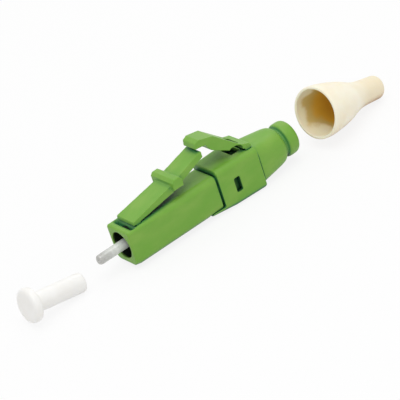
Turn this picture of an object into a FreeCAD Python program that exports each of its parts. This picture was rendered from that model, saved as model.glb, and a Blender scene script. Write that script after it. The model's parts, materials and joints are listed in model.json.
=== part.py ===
import FreeCAD, Part
import math
import os
import Sketcher

# A latched small form-factor fibre connector with its boot and its dust cap pulled off.
# Millimetres. The origin is on the ferrule's axis in the plane of the nose's front face,
# +X is the direction in which the connector plugs in and +Z is the latch side.
# Lengths called "..._from_nose" are measured backwards from that front face.

DIMENSIONS = [
    # the moulded plug body
    ("nose_half", 2.25, "half of the nose's width, and its height above the axis"),
    ("nose_floor", 2.48, "depth of the nose below the axis"),
    ("nose_round", 0.9, "radius of the nose's two lower long edges"),
    ("nose_top_round", 0.35, "radius of its two upper long edges"),
    ("lead_in", 0.18, "chamfer round the nose's front face"),
    ("body_length", 13.3, "length of the body in front of the clip"),
    ("shank_half", 1.9, "half of the square shank inside the clip"),
    ("shank_length", 5.8, "length of the shank"),
    ("cavity_radius", 1.75, "cavity round the ferrule"),
    ("cavity_depth", 1.7, "depth of that cavity"),
    ("seat_wall", 1.1, "thickness of the wall that the flange seats on"),
    ("spring_bore_radius", 1.55, "bore behind that wall"),
    ("groove_depth", 0.22, "cross groove in front of the latch's root"),
    ("groove_width", 0.3, "width of that groove"),
    # the latch
    ("latch_root_from_nose", 1.4, "front of the latch's root"),
    ("latch_pivot_back", 0.72, "from the root's front to its bending line"),
    ("latch_pivot_lift", 0.05, "height of that line above the nose's top"),
    ("latch_pivot_radius", 0.38, "rounded root that stands in for the bending web"),
    ("latch_root_half", 1.75, "half width of the latch at its root"),
    ("latch_tail_half", 1.4, "half width of the latch at its tail"),
    ("latch_root_height", 0.52, "step from the nose's top to the latch's top"),
    ("latch_bend_from_root", 6.45, "from the root's front to the bend of the arm"),
    ("latch_rise", 1.36, "rise of the arm from the root to the bend"),
    ("latch_bend_thickness", 1.05, "thickness of the arm at the bend"),
    ("latch_tail_from_root", 11.8, "from the root's front to the tail's end"),
    ("latch_tail_rise", 1.66, "rise of the tail behind the bend"),
    ("latch_tail_thickness", 0.9, "thickness of the tail's end"),
    ("lug_from_root", 6.3, "from the root's front to the shoulder lugs"),
    ("lug_length", 1.5, "length of a shoulder lug"),
    ("lug_height", 0.78, "height of a lug above the bend of the arm"),
    ("lug_depth", 0.55, "depth of a lug below the bend of the arm"),
    # the clip over the shank
    ("clip_seam", 0.28, "open seam between the body and the clip's front edge"),
    ("clip_length", 6.1, "length of the clip's cheeks and roof"),
    ("clip_lip_length", 2.0, "length of the floor lip in front of the cheeks"),
    ("clip_lip_wall", 0.35, "thickness of that lip, let into the body's floor"),
    ("clip_ramp_length", 3.6, "length of the ramp from the lip's edge to the clip's floor"),
    ("clip_front_half", 2.4, "half width of the clip at the seam"),
    ("clip_rear_half", 2.72, "half width of the clip at its rear end"),
    ("clip_roof", 2.8, "height of the clip's roof above the axis"),
    ("clip_floor", 2.82, "depth of the clip's floor below the axis"),
    ("clip_floor_round", 0.55, "radius of the clip's lower edges"),
    ("clip_roof_round", 0.8, "radius of the clip's upper edges"),
    ("moulded_round", 0.15, "rounding that the mould gives to the levers' edges"),
    ("overrun", 1.0, "how far a cutting outline reaches past the face that it cuts"),
    ("slip_fit", 0.03, "clearance between moulded pieces that slide together"),
    ("window_length", 0.85, "length of a snap window"),
    ("window_height", 1.9, "height of a snap window"),
    ("window_back", 2.0, "from the clip's front edge to its snap windows"),
    ("window_drop", 0.3, "depth of the windows' middle below the axis"),
    ("catch_height", 0.3, "how far a snap catch stands out of the shank"),
    ("roof_slot_back", 3.55, "from the clip's front edge to the slot under the trigger"),
    ("roof_slot_length", 1.35, "length of that slot"),
    # the trigger
    ("trigger_pivot_from_rear", 0.55, "from the clip's rear end to the trigger's bending line"),
    ("trigger_pivot_height", 0.22, "height of that line above the clip's roof"),
    ("trigger_pivot_radius", 0.5, "rounded root that stands in for the bending web"),
    ("trigger_root_half", 2.0, "half width of the trigger's root"),
    ("trigger_half", 1.2, "half width of the trigger's tip"),
    ("trigger_window_half", 1.05, "half width of the window between the trigger's two struts"),
    ("trigger_window_from_pivot", 0.62, "from the bending line to that window"),
    ("trigger_window_length", 1.35, "length of that window"),
    ("trigger_reach", 6.55, "from the bending line to the trigger's tip"),
    ("trigger_crest_reach", 3.85, "from the bending line to the trigger's crest"),
    ("trigger_throat_reach", 5.12, "from the bending line to the throat behind the latch's tail"),
    ("trigger_crest_height", 3.85, "height of the crest above the clip's roof"),
    ("trigger_tip_height", 4.3, "height of the tip above the clip's roof"),
    ("trigger_thickness", 1.0, "thickness of the trigger's lever"),
    # the ferrule and what carries it
    ("ferrule_radius", 0.6245, "zirconia ferrule"),
    ("ferrule_reach", 3.6, "how far the ferrule stands out of the nose"),
    ("ferrule_length", 7.8, "whole length of the ferrule"),
    ("ferrule_chamfer", 0.28, "chamfer round the ferrule's tip"),
    ("polish_slope", 0.1405, "slope of the end face, the tangent of 8 degrees"),
    ("fibre_bore_radius", 0.0635, "bore for the bare fibre"),
    ("barrel_radius", 1.1, "front barrel of the flange"),
    ("barrel_clearance", 0.06, "clearance of that barrel in the seat wall"),
    ("barrel_reach", 0.35, "how far the barrel stands in front of the seat wall"),
    ("collar_corner_radius", 1.45, "corner radius of the flange's hexagonal collar"),
    ("collar_length", 1.4, "length of the collar"),
    ("seat_clearance", 0.04, "gap between the collar and the seat wall"),
    ("spigot_radius", 0.92, "rear spigot of the flange, inside the spring"),
    ("spigot_length", 2.2, "length of the spigot"),
    ("tube_outer_radius", 0.45, "guide tube"),
    ("tube_wall", 0.12, "wall of the guide tube"),
    ("tube_length", 10.5, "length of the guide tube"),
    ("bond_gap", 0.02, "glue gap between the ferrule, the flange and the tube"),
    ("spring_wire", 0.32, "wire of the spring"),
    ("spring_coil_radius", 1.2, "mean radius of the spring"),
    ("spring_turns", 6.0, "number of turns"),
    # the post and its bead
    ("post_shank_length", 6.6, "length of the post inside the body"),
    ("post_bore_radius", 0.72, "bore of the post round the guide tube"),
    ("entry_radius", 0.5, "entry bore for a 0.9 mm buffered fibre"),
    ("entry_length", 4.0, "length of that entry bore"),
    ("post_gap", 0.06, "gap between the clip's rear end and the post's collar"),
    ("post_bevel", 0.15, "bevel of the post's front end and of the step in its bore"),
    ("neck_root_radius", 2.9, "radius of the neck at the clip"),
    ("neck_tip_radius", 2.25, "radius of the neck at the undercut"),
    ("neck_length", 4.75, "length of the neck"),
    ("undercut_radius", 2.0, "undercut between the neck and the bead"),
    ("undercut_bevel", 0.1, "slope of the undercut's two walls"),
    ("undercut_length", 0.45, "length of the undercut"),
    ("bead_radius", 2.22, "bead that the boot snaps over"),
    ("bead_length", 1.4, "length of the bead"),
    ("bead_round", 0.4, "rounding of the bead"),
    # the boot, which lies pulled off behind the connector
    ("boot_behind", 29.65, "where the boot's mouth lies behind the nose's front face"),
    ("boot_aside", 1.8, "how far its mouth lies to the left of the ferrule's axis"),
    ("boot_turn", 11.5, "degrees that the boot's axis is turned in plan"),
    ("boot_tilt", 15.1, "degrees that its mouth is tipped up, with its tail's end down"),
    ("boot_mouth_radius", 3.34, "outer radius of the boot's mouth"),
    ("boot_band", 1.1, "straight band behind the mouth"),
    ("boot_bell_length", 8.6, "length of the band and the bell together"),
    ("boot_tail_radius", 1.52, "outer radius of the tail tube"),
    ("boot_tail_taper", 0.12, "how much wider that tube is where it leaves the bell"),
    ("boot_length", 11.9, "whole length of the boot"),
    ("boot_wall", 0.34, "wall of the bell"),
    ("boot_bore_radius", 0.55, "bore of the tail for a 0.9 mm buffered fibre"),
    ("boot_tail_round", 0.6, "rounding of the tail's end"),
    # the dust cap, which lies pulled off in front of the ferrule
    ("cap_ahead", 6.08, "where the cap's open end lies in front of the nose"),
    ("cap_aside", 0.94, "how far it lies to the right of the ferrule's axis"),
    ("cap_turn", 2.5, "degrees that the cap's axis is turned in plan"),
    ("cap_tilt", 11.0, "degrees that its head is tipped up, with its open end down"),
    ("cap_tube_radius", 1.22, "outer radius of the cap's tube"),
    ("cap_clearance", 0.035, "clearance of the cap on the ferrule"),
    ("cap_length", 7.9, "whole length of the cap"),
    ("cap_head_radius", 2.15, "radius of the head"),
    ("cap_head_length", 1.15, "thickness of the head"),
    ("cap_head_round", 0.45, "rounding of the head"),
    ("cap_bore_depth", 5.8, "depth of the blind bore"),
]


class Size:
    """A length that carries its number and the formula over the sheet that gives it."""

    def __init__(self, value, text):
        self.value = value
        self.text = text

    def join(self, other, sign, work):
        if not isinstance(other, Size):
            other = Size(float(other), repr(float(other)))
        return Size(work(self.value, other.value), f"({self.text} {sign} {other.text})")

    def __add__(self, other):
        return self.join(other, "+", lambda a, b: a + b)

    def __sub__(self, other):
        return self.join(other, "-", lambda a, b: a - b)

    def __mul__(self, other):
        return self.join(other, "*", lambda a, b: a * b)

    def __truediv__(self, other):
        return self.join(other, "/", lambda a, b: a / b)

    def __neg__(self):
        return self * -1.0


class Sheet:
    """The spreadsheet of driving dimensions, read as d.alias."""

    def __init__(self, doc, rows):
        self.cells = doc.addObject("Spreadsheet::Sheet", "dims")
        self.cells.set("A1", "dimension")
        self.cells.set("B1", "mm")
        self.cells.set("C1", "what it is")
        for row, (alias, value, note) in enumerate(rows, start=2):
            self.cells.set(f"A{row}", alias)
            self.cells.set(f"B{row}", str(value))
            self.cells.setAlias(f"B{row}", alias)
            self.cells.set(f"C{row}", note)
        doc.recompute()

    def __getattr__(self, alias):
        return Size(float(getattr(self.cells, alias)), f"dims.{alias}")


doc = FreeCAD.newDocument("fibre_connector")
d = Sheet(doc, DIMENSIONS)
ONE = Size(1.0, "1.0")


# ---------------------------------------------------------------- modelling helpers

def drive(thing, name, size):
    """Bind a property to a formula, and give it the number as well."""
    thing.setExpression(name, size.text)


def body_named(label):
    """An empty PartDesign body that will be exported under its label."""
    body = doc.addObject("PartDesign::Body", label)
    body.Label = label
    return body


def plane_of(body, role):
    """One of the body's own origin planes."""
    return next(f for f in body.Origin.OriginFeatures if f.Role == role)


def empty_sketch(body, name, role, offset=None):
    """A sketch on one of the body's origin planes, moved along its normal by offset."""
    sketch = body.newObject("Sketcher::SketchObject", name)
    sketch.AttachmentSupport = [(plane_of(body, role), "")]
    sketch.MapMode = "FlatFace"
    if offset is not None:
        drive(sketch, "AttachmentOffset.Base.z", offset)
    return sketch


def pin_point(sketch, geometry, which, point):
    """Fix one point of the geometry at (across, up), both driven by the sheet."""
    for kind, size in zip(("DistanceX", "DistanceY"), point):
        rule = Sketcher.Constraint(kind, -1, 1, geometry, which, size.value)
        index = sketch.addConstraint(rule)
        sketch.setExpression(f"Constraints[{index}]", size.text)


def as_sizes(point):
    """Turn plain zeros into sizes, so that every coordinate has a formula."""
    return tuple(part if isinstance(part, Size) else Size(float(part), repr(float(part))) for part in point)


def loop_sketch(body, name, role, *loops, offset=None):
    """A sketch of closed straight-sided loops, each given by its corners in order."""
    sketch = empty_sketch(body, name, role, offset)
    for corners in loops:
        corners = [as_sizes(corner) for corner in corners]
        for start, end in zip(corners, corners[1:] + corners[:1]):
            ends = [FreeCAD.Vector(p[0].value, p[1].value, 0) for p in (start, end)]
            line = sketch.addGeometry(Part.LineSegment(*ends), False)
            pin_point(sketch, line, 1, start)
            pin_point(sketch, line, 2, end)
    return sketch


def circle_sketch(body, name, role, centre, radius, offset=None):
    """A sketch of one circle."""
    sketch = empty_sketch(body, name, role, offset)
    centre = as_sizes(centre)
    middle = FreeCAD.Vector(centre[0].value, centre[1].value, 0)
    ring = Part.Circle(middle, FreeCAD.Vector(0, 0, 1), radius.value)
    circle = sketch.addGeometry(ring, False)
    pin_point(sketch, circle, 3, centre)
    index = sketch.addConstraint(Sketcher.Constraint("Radius", circle, radius.value))
    sketch.setExpression(f"Constraints[{index}]", radius.text)
    return sketch


def block(body, kind, name, sketch, length, midplane=True, backwards=False):
    """Pad or Pocket a sketch by a length, to both sides or to one."""
    feature = body.newObject(f"PartDesign::{kind}", name)
    feature.Profile = sketch
    if midplane:
        feature.Midplane = True
    feature.Reversed = backwards
    drive(feature, "Length", length)
    body.Tip = feature
    doc.recompute()
    return feature


def pad(body, name, sketch, length, **how):
    return block(body, "Pad", name, sketch, length, **how)


def pocket(body, name, sketch, length, **how):
    """Cut a sketch out of the body, and make sure that something was cut."""
    before = body.Shape.Volume
    feature = block(body, "Pocket", name, sketch, length, **how)
    if not body.Shape.Volume < before:
        raise RuntimeError(f"{name} cut nothing")
    return feature


def turned(body, kind, name, corners):
    """Turn a half profile, given as (along X, radius) corners, round the X axis."""
    sketch = loop_sketch(body, f"{name}_profile", "XZ_Plane", corners)
    feature = body.newObject(f"PartDesign::{kind}", name)
    feature.Profile = sketch
    feature.ReferenceAxis = (sketch, ["H_Axis"])
    feature.Angle = 360.0
    body.Tip = feature
    doc.recompute()
    return feature


def dress(body, kind, name, size, wanted):
    """Fillet or Chamfer the edges of the body's tip that answer yes to wanted(edge)."""
    base = body.Tip
    edges = [f"Edge{i}" for i, edge in enumerate(base.Shape.Edges, start=1) if wanted(edge)]
    if not edges:
        raise RuntimeError(f"{name} found no edges")
    feature = body.newObject(f"PartDesign::{kind}", name)
    feature.Base = (base, edges)
    drive(feature, "Radius" if kind == "Fillet" else "Size", size)
    body.Tip = feature
    doc.recompute()
    return feature


def near(a, b, slack=1e-4):
    return abs(a - b) < slack


def along(edge, axis):
    """True where a straight edge runs along the axis."""
    if not isinstance(edge.Curve, (Part.Line, Part.LineSegment)):
        return False
    run = edge.Vertexes[-1].Point - edge.Vertexes[0].Point
    return run.Length > 0 and near(abs(run.normalize().dot(axis)), 1.0)


def ring_at(edge, x, radius):
    """True for a circular edge round the X axis at x, of that radius."""
    curve = edge.Curve
    if not isinstance(curve, Part.Circle):
        return False
    return near(curve.Center.x, x) and near(curve.Radius, radius) and near(curve.Center.z, 0.0)


X_AXIS = FreeCAD.Vector(1, 0, 0)
Y_AXIS = FreeCAD.Vector(0, 1, 0)
WIDE = d.clip_rear_half * 4.0

# ---------------------------------------------------------------- shared places

body_end = -d.body_length
shank_end = body_end - d.shank_length
seat_front = -d.cavity_depth
seat_rear = seat_front - d.seat_wall
clip_front = body_end - d.clip_seam
clip_end = clip_front - d.clip_length
lip_front = clip_front + d.clip_lip_length
latch_front = -d.latch_root_from_nose
latch_pivot_x = latch_front - d.latch_pivot_back
latch_pivot_z = d.nose_half + d.latch_pivot_lift
trigger_pivot_x = clip_end + d.trigger_pivot_from_rear
trigger_pivot_z = d.clip_roof + d.trigger_pivot_height
collar_front = seat_rear - d.seat_clearance
collar_rear = collar_front - d.collar_length
spigot_end = collar_rear - d.spigot_length
post_collar = clip_end - d.post_gap
post_front = post_collar + d.post_shank_length
neck_end = post_collar - d.neck_length
bead_front = neck_end - d.undercut_length
ferrule_end = d.ferrule_reach - d.ferrule_length
bead_rear = bead_front - d.bead_length


# ---------------------------------------------------------------- green plug body

def make_front_housing():
    body = body_named("front_housing")
    top = d.nose_half
    low = -d.nose_floor
    shank = d.shank_half
    recess_top = low + d.clip_lip_wall
    recess_front = lip_front + d.clip_seam
    side = loop_sketch(body, "side_view", "XZ_Plane", [
        (0, low), (0, top), (body_end, top), (body_end, shank), (shank_end, shank), (shank_end, -shank),
        (body_end, -shank), (body_end, recess_top), (recess_front, recess_top), (recess_front, low),
    ])
    pad(body, "block", side, d.nose_half * 2.0)
    far = d.clip_rear_half * 2.0
    flanks = [
        [(body_end, shank * s), (body_end, far * s), (shank_end - d.overrun, far * s),
         (shank_end - d.overrun, shank * s)]
        for s in (1.0, -1.0)
    ]
    pocket(body, "shank_sides", loop_sketch(body, "shank_plan", "XY_Plane", *flanks), WIDE)
    dress(body, "Fillet", "lower_edges", d.nose_round,
          lambda e: along(e, X_AXIS) and near(e.BoundBox.ZMax, low.value))
    dress(body, "Fillet", "upper_edges", d.nose_top_round,
          lambda e: along(e, X_AXIS) and near(e.BoundBox.ZMin, top.value))
    dress(body, "Chamfer", "front_lead_in", d.lead_in,
          lambda e: near(e.BoundBox.XMin, 0.0) and near(e.BoundBox.XMax, 0.0))
    # snap catches on the shank's two sides: ramps that face backwards
    catch_x = clip_front - d.window_back - d.slip_fit * 2.0
    catch_end = catch_x - d.window_length + d.slip_fit * 4.0
    ramps = [
        [(catch_x, shank * s), (catch_x, (shank + d.catch_height) * s), (catch_end, shank * s)]
        for s in (1.0, -1.0)
    ]
    ramp_sketch = loop_sketch(body, "catch_plan", "XY_Plane", *ramps, offset=-d.window_drop)
    pad(body, "snap_catches", ramp_sketch, d.window_height - d.slip_fit * 4.0)
    # one stepped bore: ferrule cavity, seat hole, spring bore
    hole = d.barrel_radius + d.barrel_clearance
    turned(body, "Groove", "stepped_bore", [
        (d.overrun, 0), (d.overrun, d.cavity_radius), (seat_front, d.cavity_radius), (seat_front, hole),
        (seat_rear, hole), (seat_rear, d.spring_bore_radius),
        (shank_end - d.overrun, d.spring_bore_radius), (shank_end - d.overrun, 0),
    ])
    # round seat of the latch's root, and the cross groove in front of it
    seat = circle_sketch(body, "latch_seat_circle", "XZ_Plane", (latch_pivot_x, latch_pivot_z),
                         d.latch_pivot_radius + d.slip_fit)
    pocket(body, "latch_seat", seat, (d.latch_root_half + d.slip_fit) * 2.0)
    groove_rear = latch_front + d.slip_fit
    groove = loop_sketch(body, "groove_side", "XZ_Plane", [
        (groove_rear, top - d.groove_depth), (groove_rear + d.groove_width, top - d.groove_depth),
        (groove_rear + d.groove_width, top * 1.5), (groove_rear, top * 1.5),
    ])
    pocket(body, "cross_groove", groove, (d.latch_root_half + d.slip_fit) * 2.0)
    return body


# ---------------------------------------------------------------- latch and trigger

def plan_trim(body, name, front_x, front_half, rear_x, rear_half):
    """Cut a lever to a width that runs straight from front_half to rear_half."""
    far = d.clip_rear_half * 2.0
    sides = [
        [(front_x, front_half * s), (front_x, far * s), (rear_x, far * s), (rear_x, rear_half * s)]
        for s in (1.0, -1.0)
    ]
    return pocket(body, name, loop_sketch(body, f"{name}_plan", "XY_Plane", *sides), WIDE * 2.0)


def make_latch_arm():
    """A rising arm with a rounded root, two shoulder lugs and a thin tail."""
    body = body_named("latch_arm")
    rest = d.nose_half + d.slip_fit
    root_top = d.nose_half + d.latch_root_height
    bend_x = latch_front - d.latch_bend_from_root
    bend_top = root_top + d.latch_rise
    tail_x = latch_front - d.latch_tail_from_root
    tail_top = bend_top + d.latch_tail_rise
    side = loop_sketch(body, "side_view", "XZ_Plane", [
        (latch_front, rest), (latch_front - d.slip_fit * 4.0, root_top), (bend_x, bend_top), (tail_x, tail_top),
        (tail_x, tail_top - d.latch_tail_thickness), (bend_x, bend_top - d.latch_bend_thickness),
        (latch_pivot_x, rest),
    ])
    pad(body, "arm", side, d.latch_root_half * 2.0)
    plan_trim(body, "taper", latch_pivot_x, d.latch_root_half, tail_x - d.slip_fit, d.latch_tail_half)
    root = circle_sketch(body, "root_circle", "XZ_Plane", (latch_pivot_x, latch_pivot_z), d.latch_pivot_radius)
    pad(body, "root", root, d.latch_root_half * 2.0)
    lug_x = latch_front - d.lug_from_root
    lug_end = lug_x - d.lug_length
    lug_top = bend_top + d.lug_height
    lug_low = bend_top - d.lug_depth
    bevel = d.lug_length / 4.0
    lug = loop_sketch(body, "lug_side", "XZ_Plane", [
        (lug_x, lug_low), (lug_x, lug_top - bevel), (lug_x - bevel, lug_top),
        (lug_end + bevel, lug_top), (lug_end, lug_top - bevel), (lug_end, lug_low),
    ])
    pad(body, "lugs", lug, d.nose_half * 2.0)
    brow = lug_top.value
    dress(body, "Fillet", "rounded_lugs", d.moulded_round, lambda e: e.BoundBox.ZMin > brow - 1e-4)
    return body


def make_trigger_lever():
    """A lever that climbs from its root, bends over a crest and ends above the latch's tail."""
    body = body_named("trigger_lever")
    roof = d.clip_roof
    tip_x = trigger_pivot_x + d.trigger_reach
    crest_x = trigger_pivot_x + d.trigger_crest_reach
    crest_z = roof + d.trigger_crest_height
    tip_z = roof + d.trigger_tip_height
    thick = d.trigger_thickness
    root = d.trigger_pivot_radius
    throat_x = trigger_pivot_x + d.trigger_throat_reach
    side = loop_sketch(body, "side_view", "XZ_Plane", [
        (trigger_pivot_x, trigger_pivot_z + root),
        (trigger_pivot_x + root * 1.5, roof + root * 2.0),
        (crest_x, crest_z), (tip_x - thick * 0.8, tip_z), (tip_x - thick * 0.15, tip_z - thick * 0.25),
        (tip_x, tip_z - thick),
        (throat_x, tip_z - thick * 1.1), (throat_x - thick * 0.55, tip_z - thick * 2.1),
        (trigger_pivot_x + root * 3.4, roof + root * 1.1), (trigger_pivot_x + root, trigger_pivot_z),
        (trigger_pivot_x, trigger_pivot_z),
    ])
    pad(body, "lever", side, d.trigger_root_half * 2.0)
    crest = crest_z.value
    dress(body, "Fillet", "rounded_crest", d.moulded_round * 2.0,
          lambda e: along(e, Y_AXIS) and e.BoundBox.ZMin > crest - 1e-4)
    plan_trim(body, "taper", tip_x, d.trigger_half, trigger_pivot_x, d.trigger_root_half)
    window_half = d.trigger_window_half
    window_rear = trigger_pivot_x + d.trigger_window_from_pivot
    window_front = window_rear + d.trigger_window_length
    window = loop_sketch(body, "window_plan", "XY_Plane", [
        (window_front, window_half), (window_front, -window_half),
        (window_rear, -window_half), (window_rear, window_half),
    ])
    pocket(body, "window", window, WIDE * 2.0)
    root_circle = circle_sketch(body, "root_circle", "XZ_Plane", (trigger_pivot_x, trigger_pivot_z), root)
    pad(body, "root", root_circle, d.trigger_root_half * 2.0)
    return body


# ---------------------------------------------------------------- clip over the shank

def make_rear_housing():
    """A clip: two cheeks, a roof and a floor whose lip reaches under the body."""
    body = body_named("rear_housing")
    lip_low = -d.nose_floor
    lip_top = lip_low + d.clip_lip_wall - d.slip_fit
    side = loop_sketch(body, "side_view", "XZ_Plane", [
        (clip_front, d.clip_roof), (clip_end, d.clip_roof), (clip_end, -d.clip_floor),
        (lip_front - d.clip_ramp_length, -d.clip_floor), (lip_front, lip_low), (lip_front, lip_top),
        (clip_front, lip_top),
    ])
    pad(body, "block", side, d.clip_rear_half * 2.0)
    lip_half = d.clip_front_half - (d.clip_rear_half - d.clip_front_half) * (d.clip_lip_length / d.clip_length)
    plan_trim(body, "wedge", lip_front, lip_half, clip_end, d.clip_rear_half)
    floor = -d.clip_floor.value
    roof = d.clip_roof.value
    rear = clip_end.value
    long_edge = d.clip_length.value / 2
    dress(body, "Fillet", "lower_edges", d.clip_floor_round,
          lambda e: near(e.BoundBox.ZMax, floor) and (e.BoundBox.XLength > long_edge or near(e.BoundBox.XMax, rear)))
    dress(body, "Fillet", "upper_edges", d.clip_roof_round,
          lambda e: near(e.BoundBox.ZMin, roof) and e.BoundBox.XLength > long_edge)
    room = d.shank_half + d.slip_fit
    inside = loop_sketch(body, "inside_plan", "XY_Plane", [
        (clip_front + d.overrun, room), (clip_front + d.overrun, -room),
        (clip_end - d.overrun, -room), (clip_end - d.overrun, room),
    ])
    pocket(body, "inside", inside, room * 2.0)
    window_x = clip_front - d.window_back
    window_top = -d.window_drop + d.window_height / 2.0
    window = loop_sketch(body, "window_side", "XZ_Plane", [
        (window_x, window_top), (window_x, window_top - d.window_height),
        (window_x - d.window_length, window_top - d.window_height), (window_x - d.window_length, window_top),
    ])
    pocket(body, "snap_windows", window, WIDE)
    slot_x = clip_front - d.roof_slot_back
    slot = loop_sketch(body, "slot_side", "XZ_Plane", [
        (slot_x, room * 0.25), (slot_x - d.roof_slot_length, room * 0.25),
        (slot_x - d.roof_slot_length, d.clip_roof * 1.5), (slot_x, d.clip_roof * 1.5),
    ])
    pocket(body, "roof_slot", slot, d.trigger_window_half * 2.0)
    seat = circle_sketch(body, "trigger_seat_circle", "XZ_Plane", (trigger_pivot_x, trigger_pivot_z),
                         d.trigger_pivot_radius + d.slip_fit)
    pocket(body, "trigger_seat", seat, (d.trigger_root_half + d.slip_fit) * 2.0)
    return body


# ---------------------------------------------------------------- ferrule and its carriage

def make_ferrule():
    """A ground zirconia rod with a fine bore, a countersunk rear and a sloping polished end."""
    body = body_named("ferrule")
    radius = d.ferrule_radius
    tip = d.ferrule_reach
    turned(body, "Revolution", "rod", [
        (tip, 0), (tip, radius - d.ferrule_chamfer * 0.6), (tip - d.ferrule_chamfer, radius),
        (ferrule_end, radius), (ferrule_end, 0),
    ])
    slope = d.polish_slope
    wedge = loop_sketch(body, "polish_side", "XZ_Plane", [
        (tip + slope * radius, -radius * 2.0), (tip - slope * radius * 3.0, radius * 2.0),
        (tip + d.overrun, radius * 2.0), (tip + d.overrun, -radius * 2.0),
    ])
    pocket(body, "polished_end", wedge, radius * 4.0)
    turned(body, "Groove", "fibre_bore", [
        (tip + d.overrun, 0), (tip + d.overrun, d.fibre_bore_radius), (ferrule_end + radius, d.fibre_bore_radius),
        (ferrule_end, radius * 0.5), (ferrule_end - d.overrun, radius * 0.5), (ferrule_end - d.overrun, 0),
    ])
    return body


def make_ferrule_flange():
    """A turned flange: front barrel, hexagonal collar and the spigot that centres the spring."""
    body = body_named("ferrule_flange")
    collar_middle = (collar_front + collar_rear) / 2.0
    corners = [
        (d.collar_corner_radius * math.cos(math.radians(60 * k)),
         d.collar_corner_radius * math.sin(math.radians(60 * k)))
        for k in range(6)
    ]
    hexagon = loop_sketch(body, "hexagon", "YZ_Plane", corners, offset=collar_middle)
    pad(body, "collar", hexagon, d.collar_length)
    barrel_front = seat_front + d.barrel_reach
    turned(body, "Revolution", "barrel_and_spigot", [
        (barrel_front, 0), (barrel_front, d.barrel_radius), (collar_middle, d.barrel_radius),
        (collar_middle, d.spigot_radius), (spigot_end, d.spigot_radius), (spigot_end, 0),
    ])
    socket = d.ferrule_radius + d.bond_gap
    tube_hole = d.tube_outer_radius + d.bond_gap
    socket_end = ferrule_end - d.bond_gap
    turned(body, "Groove", "socket", [
        (barrel_front + d.overrun, 0), (barrel_front + d.overrun, socket), (socket_end, socket),
        (socket_end, tube_hole), (spigot_end - d.overrun, tube_hole), (spigot_end - d.overrun, 0),
    ])
    return body


def make_guide_tube():
    """A thin tube from the flange through the spring into the post."""
    body = body_named("guide_tube")
    front = ferrule_end - d.bond_gap * 2.0
    inner = d.tube_outer_radius - d.tube_wall
    turned(body, "Revolution", "tube", [
        (front, inner), (front, d.tube_outer_radius),
        (front - d.tube_length, d.tube_outer_radius), (front - d.tube_length, inner),
    ])
    return body


def make_compression_spring():
    """A round wire swept along a helix, laid along the X axis between collar and post."""
    wire_radius = d.spring_wire / 2.0
    height = collar_rear - post_front - d.spring_wire - d.seat_clearance * 2.0
    helix = doc.addObject("Part::Helix", "spring_helix")
    drive(helix, "Height", height)
    drive(helix, "Pitch", height / d.spring_turns)
    drive(helix, "Radius", d.spring_coil_radius)
    section = doc.addObject("Part::Circle", "spring_section")
    drive(section, "Radius", wire_radius)
    drive(section, "Placement.Base.x", d.spring_coil_radius)
    section.Placement.Rotation = FreeCAD.Rotation(X_AXIS, 90)
    sweep = doc.addObject("Part::Sweep", "compression_spring")
    sweep.Sections = [section]
    sweep.Spine = (helix, [])
    sweep.Solid = True
    sweep.Frenet = True
    sweep.Placement.Rotation = FreeCAD.Rotation(Y_AXIS, 90)
    drive(sweep, "Placement.Base.x", post_front + wire_radius + d.seat_clearance)
    doc.recompute()
    return sweep


# ---------------------------------------------------------------- post, boot and dust cap

def make_back_post():
    """The post that closes the body: shank, stop flange, round neck, undercut and bead."""
    body = body_named("back_post")
    shank = d.spring_bore_radius - d.slip_fit
    flange = d.shank_half
    turned(body, "Revolution", "outside", [
        (post_front, 0), (post_front, shank - d.post_bevel), (post_front - d.post_bevel, shank),
        (shank_end - d.slip_fit, shank), (shank_end - d.slip_fit, flange), (post_collar, flange),
        (post_collar, d.neck_root_radius), (neck_end, d.neck_tip_radius),
        (neck_end - d.undercut_bevel, d.undercut_radius), (bead_front + d.undercut_bevel, d.undercut_radius),
        (bead_front, d.bead_radius), (bead_rear, d.bead_radius),
        (bead_rear, 0),
    ])
    rear = bead_rear.value
    dress(body, "Fillet", "bead_round", d.bead_round, lambda e: ring_at(e, rear, d.bead_radius.value))
    turned(body, "Groove", "bore", [
        (post_front + d.overrun, 0), (post_front + d.overrun, d.post_bore_radius),
        (bead_rear + d.entry_length + d.post_bevel, d.post_bore_radius),
        (bead_rear + d.entry_length, d.entry_radius),
        (bead_rear - d.overrun, d.entry_radius), (bead_rear - d.overrun, 0),
    ])
    return body


def lay_down(body, x, y, turn, tilt, end_radius, end_behind):
    """Lay a turned piece, tipped up in front, so that its lower end touches the rest plane."""
    sine = Size(math.sin(math.radians(tilt.value)), f"sin({tilt.text} * 1 deg)")
    cosine = Size(math.cos(math.radians(tilt.value)), f"cos({tilt.text} * 1 deg)")
    z = cosine * end_radius + sine * end_behind - d.neck_root_radius
    body.setExpression("Placement", (
        f"create(<<placement>>; create(<<vector>>; {x.text}; {y.text}; {z.text}); "
        f"create(<<rotation>>; {turn.text}; {(-tilt).text}; 0))"
    ))
    doc.recompute()


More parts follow.
